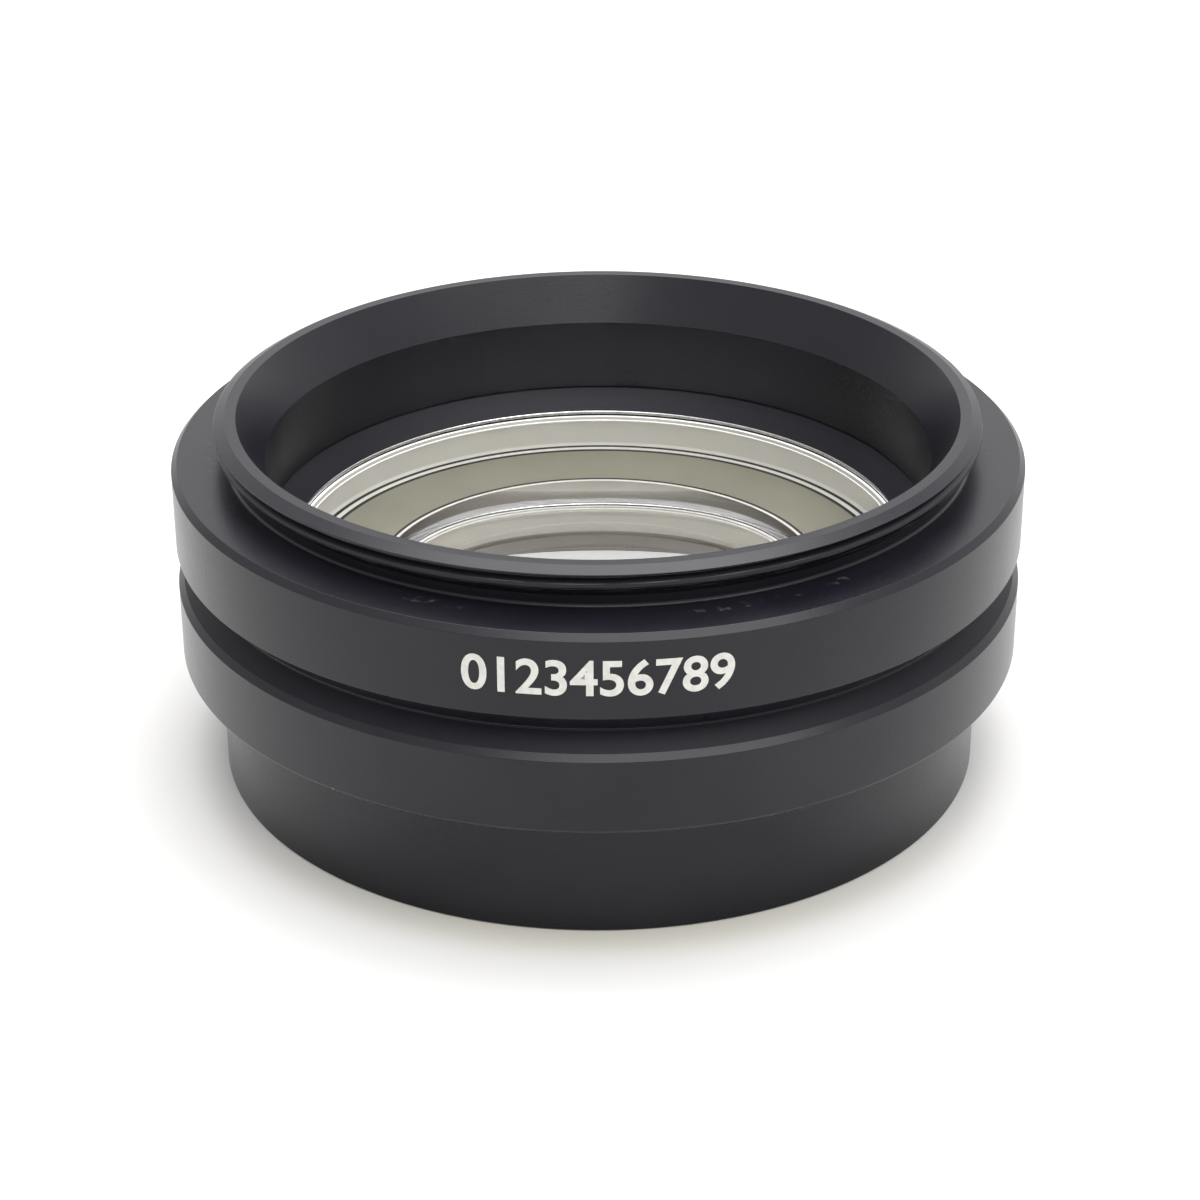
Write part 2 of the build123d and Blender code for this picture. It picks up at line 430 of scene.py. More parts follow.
class Sheet:
    """Node tree of one material or of the world, written as expressions."""

    def __init__(self, tree: bpy.types.NodeTree) -> None:
        """Empties a node tree and starts on it."""
        self.tree = tree
        tree.nodes.clear()

    def node(self, kind: str, settings: dict[str, object] | None = None,
             values: dict[str | int, object] | None = None) -> bpy.types.Node:
        """Adds any node.

        Args:
            kind: the node's type.
            settings: properties of the node, set before its sockets.
            values: numbers, colours, terms or sockets for its inputs, by name or number.

        Returns:
            The node.
        """
        made = self.tree.nodes.new(kind)
        for name, setting in (settings or {}).items():
            setattr(made, name, setting)
        for name, value in (values or {}).items():
            if isinstance(value, Term):
                value = value.socket
            if isinstance(value, bpy.types.NodeSocket):
                self.tree.links.new(value, made.inputs[name])
            else:
                made.inputs[name].default_value = value
        return made

    def term(self, kind: str, output: str | int, settings: dict[str, object] | None = None,
             values: dict[str | int, object] | None = None) -> Term:
        """Adds a node and wraps one of its outputs.

        Args:
            kind: the node's type.
            output: name or number of the output.
            settings: properties of the node.
            values: values of its inputs.

        Returns:
            The output as a term.
        """
        return Term(self, self.node(kind, settings, values).outputs[output])

    def place(self) -> tuple[Term, Term, Term]:
        """Returns x, y and z of the point that is shaded, in metres, in the object's own frame."""
        coordinates = self.node("ShaderNodeTexCoord")
        parts = self.node("ShaderNodeSeparateXYZ", None, {0: coordinates.outputs["Object"]})
        return tuple(Term(self, s) for s in parts.outputs)

    def vector(self, x: Term | float, y: Term | float, z: Term | float) -> bpy.types.NodeSocket:
        """Puts three numbers together."""
        return self.node("ShaderNodeCombineXYZ", None, {0: x, 1: y, 2: z}).outputs[0]

    def noise(self, vector: bpy.types.NodeSocket, scale: float, detail: float = 2.0) -> Term:
        """Soft noise from 0 to 1.

        Args:
            vector: where the noise is read.
            scale: number of its features in a unit of the vector.
            detail: number of finer layers.

        Returns:
            The noise.
        """
        values = {"Vector": vector, "Scale": scale, "Detail": detail}
        return self.term("ShaderNodeTexNoise", "Fac", None, values)

    def blend(self, share: Term, first: Colour | bpy.types.NodeSocket,
              second: Colour | bpy.types.NodeSocket) -> bpy.types.NodeSocket:
        """Mixes two colours.

        Args:
            share: how much of the second colour shows.
            first: colour at share 0.
            second: colour at share 1.

        Returns:
            The mixed colour.
        """
        colours = [c if isinstance(c, bpy.types.NodeSocket) else (*c, 1.0) for c in (first, second)]
        made = self.node("ShaderNodeMix", {"data_type": "RGBA"}, {0: share, 6: colours[0], 7: colours[1]})
        return made.outputs[2]

    def specks(self, vector: bpy.types.NodeSocket, spacing: float, size: float, share: float) -> Term:
        """Small round specks, each at a chance place in its own cell.

        A cell holds a speck where its chance number is above one less the share, and
        the speck covers what lies nearer to the cell's point than the size.

        Args:
            vector: where the specks are read, in metres.
            spacing: size of a cell in metres.
            size: radius of a speck in metres.
            share: share of the cells that hold one.

        Returns:
            One on a speck, else nought.
        """
        cells = self.node("ShaderNodeTexVoronoi", None, {"Vector": vector, "Scale": 1.0 / spacing})
        chance = self.term("ShaderNodeSeparateColor", 0, None, {0: cells.outputs["Color"]})
        near = 1.0 - Term(self, cells.outputs["Distance"]).ramp(0.5 * size / spacing, size / spacing)
        return near * chance.above(1.0 - share)

    def spot(self) -> bpy.types.NodeSocket:
        """Returns the point that is shaded as one vector."""
        return self.vector(*self.place())

    def bump(self, height: Term, depth: float) -> bpy.types.NodeSocket:
        """Returns the normal of a relief whose height runs from 0 to 1 and is depth metres deep."""
        values = {"Strength": 1.0, "Distance": depth, "Height": height}
        return self.node("ShaderNodeBump", None, values).outputs[0]

    def finish(self, shader: bpy.types.NodeSocket) -> None:
        """Puts the shader on the material's output."""
        self.node("ShaderNodeOutputMaterial", None, {"Surface": shader})

    def surface(self, values: dict[str, object]) -> None:
        """Finishes the material with a Principled surface that has the given inputs."""
        self.finish(self.node("ShaderNodeBsdfPrincipled", None, values).outputs[0])


@dataclass(frozen=True)
class Finish:
    """What every finish shares: a material that is built once."""

    def material(self, name: str) -> bpy.types.Material:
        """Returns the material of that name, built at its first use."""
        found = bpy.data.materials.get(name)
        if found is None:
            found = bpy.data.materials.new(name)
            found.use_nodes = True
            self.build(Sheet(found.node_tree))
        return found

    def build(self, sheet: Sheet) -> None:
        """Writes the nodes of the finish."""
        raise NotImplementedError


@dataclass(frozen=True)
class Anodised(Finish):
    """Black dyed anodising on turned and blasted aluminium.

    The oxide gives the gloss, fine grain and turning marks break it up, and small
    specks of dust and rubbed dashes on the flange around the neck lighten it.
    """

    tone: Colour = (0.0064, 0.0059, 0.0105)
    worn_tone: Colour = (0.16, 0.155, 0.15)
    roughness: float = 0.30
    index: float = 1.40
    grain_size: float = 0.00022
    grain_depth: float = 0.000008
    mark_width: float = 0.00009
    mark_run: float = 0.004  # the marks are read this far along for one radian of turn
    cloud_size: float = 0.009
    speck_spacing: float = 0.0030
    speck_size: float = 0.00016
    speck_share: float = 0.035
    rub_radius: float = 0.0328
    rub_height: float = 0.0281
    rub_width: Reach = (0.0002, 0.0007)  # from the rubbed circle, out and in
    rub_rise: Reach = (0.0012, 0.0006)  # and up and down
    patch_size: float = 0.012
    dash_size: float = 0.0009
    warmth: Colour = (1.5, 1.45, 1.25)  # how much the lighter clouds of the dye are raised

    def build(self, sheet: Sheet) -> None:
        """Writes the nodes of the anodising."""
        x, y, z = sheet.place()
        radius = (x * x + y * y) ** 0.5
        turn = y.turned_from(x)
        spot = sheet.vector(x, y, z)
        around = sheet.vector(turn * self.mark_run, radius, z)
        grain = sheet.noise(spot, 1.0 / self.grain_size, 3.0)
        marks = sheet.noise(around, 1.0 / self.mark_width, 2.0)
        cloud = sheet.noise(spot, 1.0 / self.cloud_size, 4.0)
        specks = sheet.specks(spot, self.speck_spacing, self.speck_size, self.speck_share)
        ring = 1.0 - abs(radius - self.rub_radius).ramp(*self.rub_width)
        ring = ring * abs(z - self.rub_height).ramp(*self.rub_rise)
        patches = sheet.noise(spot, 1.0 / self.patch_size, 2.0).ramp(0.45, 0.6)
        rubbed = ring * patches * sheet.noise(spot, 1.0 / self.dash_size, 4.0).ramp(0.56, 0.78)
        worn = (specks * 0.9 + rubbed * 0.55).at_most(1.0)
        warm = tuple(c * f for c, f in zip(self.tone, self.warmth))
        base = sheet.blend(cloud.ramp(0.3, 0.7), self.tone, warm)
        sheet.surface({
            "Base Color": sheet.blend(worn, base, self.worn_tone),
            "Roughness": self.roughness + (grain - 0.5) * 0.10 + (cloud - 0.5) * 0.08 + worn * 0.25,
            "IOR": self.index,
            "Normal": sheet.bump(grain + marks * 0.6, self.grain_depth),
        })


@dataclass(frozen=True)
class BareMetal(Finish):
    """Aluminium without dye: the turned lip of a ring, or an edge rubbed bright."""

    tone: Colour = (0.27, 0.27, 0.285)
    roughness: float = 0.5
    mark_width: float = 0.00008
    mark_run: float = 0.003  # as in the anodising
    mark_depth: float = 0.000002
    dullness: float = 0.8  # tone in the turning marks, as a share of the full tone

    def build(self, sheet: Sheet) -> None:
        """Writes the nodes of the bare metal."""
        x, y, z = sheet.place()
        radius = (x * x + y * y) ** 0.5
        around = sheet.vector(y.turned_from(x) * self.mark_run, radius, z)
        marks = sheet.noise(around, 1.0 / self.mark_width, 3.0)
        dull = tuple(c * self.dullness for c in self.tone)
        sheet.surface({
            "Base Color": sheet.blend(marks.ramp(0.3, 0.7), dull, self.tone),
            "Metallic": 1.0,
            "Roughness": self.roughness + (marks - 0.5) * 0.12,
            "Normal": sheet.bump(marks, self.mark_depth),
        })


@dataclass(frozen=True)
class Polished(Finish):
    """Polished optical glass under a thin antireflection film."""

    tone: Colour = (0.998, 0.985, 0.972)
    index: float = 1.52
    film_thickness: float = 110.0  # nanometres
    film_index: float = 1.38
    haze_size: float = 0.006
    haze_roughness: float = 0.012

    def build(self, sheet: Sheet) -> None:
        """Writes the nodes of the glass."""
        haze = sheet.noise(sheet.spot(), 1.0 / self.haze_size, 3.0).ramp(0.45, 0.85)
        sheet.surface({
            "Base Color": (*self.tone, 1.0),
            "Roughness": haze * self.haze_roughness,
            "IOR": self.index,
            "Transmission Weight": 1.0,
            "Thin Film Thickness": self.film_thickness,
            "Thin Film IOR": self.film_index,
        })


@dataclass(frozen=True)
class Ground(Finish):
    """Finely ground glass, which scatters the light that reaches it through the lens."""

    tone: Colour = (1.0, 0.985, 0.925)
    dark_tone: Colour = (0.99, 0.972, 0.905)
    roughness: float = 0.55
    grain_size: float = 0.00015
    grain_depth: float = 0.000003
    cloud_size: float = 0.005

    def build(self, sheet: Sheet) -> None:
        """Writes the nodes of the ground glass."""
        spot = sheet.spot()
        grain = sheet.noise(spot, 1.0 / self.grain_size, 2.0)
        cloud = sheet.noise(spot, 1.0 / self.cloud_size, 3.0)
        sheet.surface({
            "Base Color": sheet.blend(cloud.ramp(0.3, 0.7), self.dark_tone, self.tone),
            "Roughness": self.roughness + (grain - 0.5) * 0.2,
            "Normal": sheet.bump(grain, self.grain_depth),
        })


@dataclass(frozen=True)
class Paint(Finish):
    """White paint that fills the engraved numbers."""

    tone: Colour = (0.70, 0.69, 0.65)
    roughness: float = 0.55
    patch_size: float = 0.0006
    patch_depth: float = 0.0000015
    thinness: float = 0.9  # tone where the paint is thin, as a share of the full tone

    def build(self, sheet: Sheet) -> None:
        """Writes the nodes of the paint."""
        patch = sheet.noise(sheet.spot(), 1.0 / self.patch_size, 3.0)
        thin = tuple(c * self.thinness for c in self.tone)
        sheet.surface({
            "Base Color": sheet.blend(patch.ramp(0.35, 0.6), thin, self.tone),
            "Roughness": self.roughness + (patch - 0.5) * 0.2,
            "Normal": sheet.bump(patch, self.patch_depth),
        })


FINISHES: dict[Zone, Finish] = {
    Zone.SATIN: Anodised(),
    # painted highlight: a lighter black on the ring's lower edge, where it mirrors the table
    Zone.HIGHLIT_EDGE: Anodised(tone=(0.026, 0.025, 0.028)),
    Zone.MATT: Anodised(roughness=0.5, index=1.28, speck_share=0.02, grain_depth=0.000004),
    Zone.HOOD: Anodised(roughness=0.2, index=1.28, speck_share=0.0),
    Zone.BARE: BareMetal(),
    Zone.BURNISHED: BareMetal(tone=(0.9, 0.9, 0.9), roughness=0.22),
    Zone.POLISHED: Polished(),
    Zone.GROUND_EDGE: Ground(),
    Zone.GROUND_MARGIN: Ground(tone=(0.345, 0.335, 0.27), dark_tone=(0.325, 0.315, 0.255)),
    Zone.BEVEL: Ground(tone=(0.36, 0.35, 0.32), dark_tone=(0.3, 0.29, 0.26), roughness=0.4),
    # frosted glass, and painted highlight lines
    Zone.FROST_AND_HIGHLIGHT: Ground(tone=(0.99, 0.985, 0.96), dark_tone=(0.97, 0.965, 0.94)),
    # painted shadow lines on the lower margin
    Zone.SHADOW_LINE: Ground(tone=(0.05, 0.047, 0.04), dark_tone=(0.035, 0.033, 0.03)),
    Zone.PAINT: Paint(),
}


# Pieces of the objective


@dataclass(frozen=True)
class Helix:
    """Right-handed external thread, cut into a plain cylinder.

    In section, the groove is a V with a narrow flat root. Its centre climbs by
    the pitch in one turn, so its height is the height at the front plus the pitch times
    the share of a turn from the front.
    """

    pitch: float = 1.0
    groove_width: float = 0.67
    root_width: float = 0.07
    flank_slope: float = math.sqrt(3.0)  # radial depth for each unit along the axis
    front_height: float = 30.91

    def depth(self, height: np.ndarray, angle: np.ndarray) -> np.ndarray:
        """Works out how far the groove cuts below the crests.

        Args:
            height: height of each point.
            angle: angle of each point about the axis, 0 at +X.

        Returns:
            The depth of the groove at each point, nought on the crests.
        """
        from_front = (angle + math.pi / 2) / (2 * math.pi)
        turns = (height - self.front_height) / self.pitch - from_front
        off = np.abs(turns - np.round(turns)) * self.pitch
        inside = np.clip(self.groove_width / 2 - off, 0.0, (self.groove_width - self.root_width) / 2)
        return inside * self.flank_slope


@dataclass
class MountRing:
    """Upper ring: V-groove side, flange, relief neck, thread and tapered entry."""

    size: Extent
    bore: float
    counterbore: float
    counterbore_height: float
    groove_depth: float = 1.8
    groove_land: float = 0.1
    flange_height: float = 8.95
    flange_chamfer: float = 0.5
    thread_radius: float = 32.45
    thread_length: float = 1.55
    lead_width: float = 0.95
    lead_drop: float = 0.4
    neck_depth: float = 1.1
    neck_fillet: float = 0.3
    rim_wall: float = 1.88
    entry_depth: float = 3.96
    wall_recess: float = 0.012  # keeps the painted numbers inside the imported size
    row_spacing: float = 0.03
    rim_margin: float = 0.1  # width of the rim's flat that stays clear of the thread
    helix: Helix = Helix()

    def section(self) -> Section:
        """Returns the turned section, with fine rows where the thread is cut."""
        outer = self.size.radius - self.wall_recess
        root = outer - self.groove_depth
        side = self.size.low + self.groove_land
        face = self.size.low + self.flange_height
        thread_end = self.size.high - self.thread_length
        neck = self.thread_radius - self.neck_depth
        corners = [
            Corner(self.counterbore, self.size.low + SEAT_FILM),
            Corner(root, self.size.low + SEAT_FILM, edge_break=KEEN),
            Corner(root, side),
            Corner(outer, side + self.groove_depth, edge_break=SOFT),
            Corner(outer, face - self.flange_chamfer, edge_break=ROUND),
            Corner(outer - self.flange_chamfer, face, edge_break=ROUND),
            Corner(neck, face, edge_break=self.neck_fillet),
            Corner(neck, thread_end - self.neck_depth),
            Corner(self.thread_radius, thread_end),
            Corner(self.thread_radius, self.size.high - self.lead_drop),
            Corner(self.thread_radius - self.lead_width, self.size.high, edge_break=FINE),
            Corner(self.thread_radius - self.rim_wall, self.size.high, edge_break=FINE),
            Corner(self.bore, self.size.high - self.entry_depth, edge_break=FINE),
            Corner(self.bore, self.counterbore_height),
            Corner(self.counterbore, self.counterbore_height),
        ]
        laid = Section(corners).lay_out()
        return laid.refine(thread_end - self.neck_depth, self.size.high, neck, self.row_spacing)

    def make(self) -> bpy.types.Object:
        """Turns the ring and cuts the thread.

        No radius of the threaded part is above the crest's less the groove's depth.

        Returns:
            The piece.
        """
        body = Turned("mount_ring_body", self.section())
        radius, height, angle = body.grid()
        outside = radius > self.thread_radius - self.rim_wall + self.rim_margin
        threaded = outside & (height > self.size.high - self.thread_length - self.neck_depth)
        cut = self.thread_radius - self.helix.depth(height, angle)
        return body.mesh(np.where(threaded, np.minimum(radius, cut), radius), height, angle)


@dataclass
class Barrel:
    """Barrel: plain clamp end, lower ring, threaded collar and the stepped bore for the lenses."""

    size: Extent
    upper_lens: Extent
    lower_lens: Extent
    upper_ring: Extent
    lower_ring: Extent
    plain_radius: float = 33.0
    plain_length: float = 10.76
    ring_break: float = 0.35
    ring_round: float = 0.2  # rounded edge above the ring's chamfer, in the lighter black of the painted highlight
    root_round: float = 0.1
    foot_break: float = 0.15
    groove_depth: float = 1.8
    groove_land: float = 0.1
    groove_shade_share: float = 0.72  # share of the groove's flank, from its root, that takes the duller finish as painted shade
    parting_height: float = 19.15
    collar_radius: float = 31.5
    collar_break: float = 0.3
    foot_width: float = 8.2
    seat_width: float = 0.7
    clearance: float = 0.1
    upper_runout: float = 0.5
    lower_runout: float = 0.3

    def section(self) -> Section:
        """Returns the turned section."""
        outer = self.size.radius
        root = outer - self.groove_depth
        side = self.parting_height - self.groove_land
        groove_shade_depth = self.groove_shade_share * self.groove_depth
        collar_bore = self.upper_ring.radius + self.clearance
        upper_cell = self.upper_lens.radius + self.clearance
        upper_seat = self.upper_lens.low - SEAT_FILM
        thread = self.lower_ring.radius + self.clearance
        floor = self.lower_ring.low - self.lower_runout
        lower_cell = self.lower_lens.radius + self.clearance
        lower_seat = self.lower_lens.low - SEAT_FILM
        inside = [
            (self.collar_radius, self.parting_height - SEAT_FILM),
            (self.collar_radius, self.size.high - self.collar_break),
            (self.collar_radius - self.collar_break, self.size.high),
            (collar_bore, self.size.high),
            (collar_bore, self.upper_lens.high - self.upper_runout),
            (upper_cell, self.upper_lens.high - self.upper_runout),
            (upper_cell, upper_seat),
            (thread, upper_seat),
            (thread, floor),
            (lower_cell, floor),
            (lower_cell, lower_seat),
        ]
        return Section([
            Corner(self.plain_radius - self.foot_width, self.size.low, edge_break=FINE),
            Corner(self.plain_radius - self.foot_break, self.size.low, edge_break=KEEN),
            Corner(self.plain_radius, self.size.low + self.foot_break, edge_break=KEEN),
            Corner(self.plain_radius, self.plain_length, edge_break=self.root_round),
            # The ring's lower chamfer and its rounds take a lighter black: a painted highlight where they
            # mirror the table.
            Corner(outer - self.ring_break, self.plain_length, Zone.HIGHLIT_EDGE, self.root_round),
            Corner(outer, self.plain_length + self.ring_break, Zone.SATIN, self.ring_round, Zone.HIGHLIT_EDGE),
            Corner(outer, side - self.groove_depth, edge_break=SOFT),
            # The inner part of the lower flank takes the duller, less mirroring finish: painted shade deep
            # in the groove.
            Corner(root + groove_shade_depth, side - groove_shade_depth, Zone.MATT),
            Corner(root, side, Zone.MATT),
            Corner(root, self.parting_height - SEAT_FILM, edge_break=KEEN),
            *(Corner(radius, height, Zone.MATT) for radius, height in inside),
            Corner(self.lower_lens.radius - self.seat_width, lower_seat, Zone.HOOD, edge_break=FINE),
        ]).lay_out()

    def make(self) -> bpy.types.Object:
        """Turns the barrel."""
        body = Turned("barrel_body", self.section())
        return body.mesh(*body.grid())


@dataclass(frozen=True)
class Slots:
    """Two spanner slots across a ring, at +X and -X, with flat floors and upright walls."""

    width: float
    inner_radius: float
    fan: int = 14  # columns across one slot
    around: int = 226  # columns from one slot to the other

    def angles(self, radius: np.ndarray) -> np.ndarray:
        """Works out the columns' angles on each row.

        Across a slot the columns keep to planes along X, so their angle is the arc sine
        of their distance from X divided by the radius. From the edge of one slot to the
        edge of the other they are evenly spaced. Each edge has two columns at one place,
        one for the slot's floor and one for the ring's top.

        Args:
            radius: radius of each row.

        Returns:
            Angles of shape rows by columns.
        """
        across = np.linspace(-self.width / 2, self.width / 2, self.fan)
        in_slot = np.arcsin(across[None, :] / radius[:, None])
        edge = np.arcsin(self.width / 2 / radius)[:, None]
        share = np.linspace(0.0, 1.0, self.around)[None, :]
        between = edge + (math.pi - 2 * edge) * share
        return np.concatenate([in_slot, between, in_slot + math.pi, between + math.pi], axis=1)

    def cuts(self) -> np.ndarray:
        """Returns which columns lie in a slot."""
        one = np.concatenate([np.ones(self.fan, bool), np.zeros(self.around, bool)])
        return np.concatenate([one, one])


@dataclass
class RetainingRing:
    """Threaded ring that holds a lens, with two spanner slots in its top."""

    size: Extent
    lens: Extent
    name: str
    overlap: float  # how far the ring reaches over the lens
    slot_width: float
    slot_depth: float

    @property
    def inner(self) -> float:
        """Radius of the ring's opening."""
        return self.lens.radius - self.overlap

    @property
    def floor(self) -> float:
        """Height of the slots' floor."""
        return self.size.high - self.slot_depth

    def slot_start(self) -> float:
        """Smallest radius that the slots reach."""
        raise NotImplementedError

    def corners(self) -> Sequence[Corner]:
        """Corners of the ring's section."""
        raise NotImplementedError

    def make(self) -> bpy.types.Object:
        """Turns the ring and sinks the slots: in their columns no point is above their floor."""
        slots = Slots(self.slot_width, self.slot_start())
        section = Section(self.corners()).lay_out()
        body = Turned(self.name, section)
        radius, height, angle = body.spread(slots.angles(np.array(section.radii)))
        sunk = slots.cuts()[None, :] & (radius >= slots.inner_radius)
        return body.mesh(radius, np.where(sunk, np.minimum(height, self.floor), height), angle)


@dataclass
class UpperRing(RetainingRing):
    """Upper retaining ring, with its tapered top and bright inner edge."""

    name: str = "upper_retaining_ring_body"
    overlap: float = 0.5
    slot_width: float = 2.0
    slot_depth: float = 0.9
    land: float = 0.47  # upright wall of the opening
    bright: float = 0.14  # radius of its rubbed edge
    rubbed_low: float = 0.16  # the part of the land below this height is dark

    def slot_start(self) -> float:
        """Radius at which the tapered top meets the slots' floor."""
        slope = (self.size.high - self.size.low - self.land) / (self.size.radius - self.inner)
        return self.inner + (self.floor - self.size.low - self.land) / slope

    def corners(self) -> Sequence[Corner]:
        """Corners of the ring's section."""
        size, foot = self.size, self.size.low + SEAT_FILM
        dark = [
            (self.inner, size.low + self.rubbed_low),
            (self.inner, foot),
            (size.radius, foot),
            (size.radius, self.floor),
            (size.radius, size.high),
            (self.slot_start(), self.floor),
        ]
        return [
            *(Corner(radius, height, Zone.MATT) for radius, height in dark),
            Corner(self.inner, size.low + self.land - self.bright / 2, Zone.BURNISHED, self.bright),
        ]


@dataclass
class LowerRing(RetainingRing):
    """Lower retaining ring, a bright cap over the edge of the lower lens."""

    name: str = "lower_retaining_ring_body"
    overlap: float = 0.6
    slot_width: float = 1.6
    slot_depth: float = 0.8
    slot_length: float = 1.0
    land: float = 0.12
    taper: float = 0.5
    skirt_gap: float = 0.2
    slot_wall: float = 0.001  # run of the slot's inner wall, which is all but upright
    lip_round: float = 0.04

    def slot_start(self) -> float:
        """Radius of the slots' inner wall."""
        return self.size.radius - self.slot_length

    def corners(self) -> Sequence[Corner]:
        """Corners of the ring's section."""
        size, lens, start = self.size, self.lens, self.slot_start()
        skirt = lens.radius + self.skirt_gap
        top = self.inner + self.taper
        return [
            Corner(self.inner, lens.high + SEAT_FILM, Zone.MATT),
            Corner(skirt, lens.high + SEAT_FILM, Zone.MATT),
            Corner(skirt, size.low, Zone.MATT),
            Corner(size.radius, size.low, Zone.MATT),
            Corner(size.radius, self.floor, Zone.BARE),
            Corner(size.radius, size.high, Zone.BARE),
            Corner(start, size.high, Zone.BARE),
            Corner(start - self.slot_wall, size.high, Zone.BARE),
            Corner(top, size.high, Zone.BARE, self.lip_round, Zone.BURNISHED),
            Corner(self.inner, lens.high + self.land, Zone.MATT, ROUND, Zone.BURNISHED),
        ]


@dataclass
class Lens:
    """Glass lens with ground edge, margins and bevels, closed by a fan at each pole."""

    size: Extent
    name: str
    top_curve: float  # radius of curvature of the hollow top
    margin: float  # flat ring around the hollow, outside its bevel
    bevel: float
    edge_bevel: float  # bevel at the foot of the edge
    top_round: float  # arc on the edge of the margin, near white: a painted highlight
    bevel_line: float  # foot of the bevel, near white: a painted highlight

    @staticmethod
    def sagitta(curvature: float, aperture: float) -> float:
        """Depth of a sphere of the given radius of curvature over an aperture's radius."""
        return curvature - math.sqrt(curvature**2 - aperture**2)

    def top(self) -> list[Corner]:
        """Corners of the edge's upper end, the margin and bevel, and the hollow top."""
        size, rise = self.size, self.bevel_line
        hollow = size.radius - self.margin - self.bevel
        foot = size.high - self.bevel
        return [
            # The margin's top is frosted glass; its rounded edge and the bevel's foot are near white as
            # painted highlights.
            Corner(size.radius, size.high, Zone.FROST_AND_HIGHLIGHT),
            Corner(hollow + self.bevel, size.high, Zone.BEVEL, self.top_round, Zone.FROST_AND_HIGHLIGHT),
            Corner(hollow + rise, foot + rise, Zone.FROST_AND_HIGHLIGHT),
            Corner(hollow, foot, Zone.POLISHED, arc_radius=self.top_curve),
            Corner(0.0, foot - self.sagitta(self.top_curve, hollow), Zone.POLISHED),
        ]

    def corners(self) -> Sequence[Corner]:
        """Corners of the lens's section."""
        raise NotImplementedError

    def make(self) -> bpy.types.Object:
        """Turns the lens."""
        body = Turned(self.name, Section(self.corners(), face_steps=64).lay_out(), columns=360)
        return body.mesh(*body.grid())


@dataclass
class UpperLens(Lens):
    """Upper lens, hollow on both faces, with a wide ground margin below."""

    name: str = "upper_lens_body"
    top_curve: float = 125.0
    margin: float = 0.7
    bevel: float = 0.3
    edge_bevel: float = 0.3
    top_round: float = 0.12
    bevel_line: float = 0.07
    bottom_curve: float = 2500.0
    bottom_margin: float = 7.4
    inner_line: float = 0.28  # painted highlight line, then painted shadow line, around the lower hollow
    highlight_line_width: float = 0.45  # painted highlight line near the edge
    shadow_line_width: float = 0.35  # width of the painted shadow line on each side of the painted highlight line near the edge

    def corners(self) -> Sequence[Corner]:
        """Corners of the lens's section."""
        size, low = self.size, self.size.low
        bottom = size.radius - self.bottom_margin
        shadow_line_start = size.radius - self.edge_bevel - self.shadow_line_width
        centre = low + self.sagitta(self.bottom_curve, bottom)
        return [
            Corner(0.0, centre, Zone.POLISHED, arc_radius=-self.bottom_curve),
            # Around the hollow and beside the edge bevel, near white and near black bands paint highlight
            # and shadow lines on the ground margin.
            Corner(bottom, low, Zone.FROST_AND_HIGHLIGHT),
            Corner(bottom + self.inner_line, low, Zone.SHADOW_LINE),
            Corner(bottom + 2 * self.inner_line, low, Zone.GROUND_MARGIN),
            Corner(shadow_line_start - self.highlight_line_width - self.shadow_line_width, low, Zone.SHADOW_LINE),
            Corner(shadow_line_start - self.highlight_line_width, low, Zone.FROST_AND_HIGHLIGHT),
            Corner(shadow_line_start, low, Zone.SHADOW_LINE),
            Corner(size.radius - self.edge_bevel, low, Zone.GROUND_EDGE),
            Corner(size.radius, low + self.edge_bevel, Zone.GROUND_EDGE),
            *self.top(),
        ]


@dataclass
class LowerLens(Lens):
    """Lower lens, hollow above and flat below."""

    name: str = "lower_lens_body"
    top_curve: float = 600.0
    margin: float = 0.85
    bevel: float = 0.15
    edge_bevel: float = 0.2
    top_round: float = ROUND
    bevel_line: float = 0.06

    def corners(self) -> Sequence[Corner]:
        """Corners of the lens's section."""
        size, low = self.size, self.size.low
        return [
            Corner(0.0, low, Zone.POLISHED),
            Corner(size.radius - self.edge_bevel, low, Zone.BEVEL),
            Corner(size.radius, low + self.edge_bevel, Zone.GROUND_EDGE),
            *self.top(),
        ]


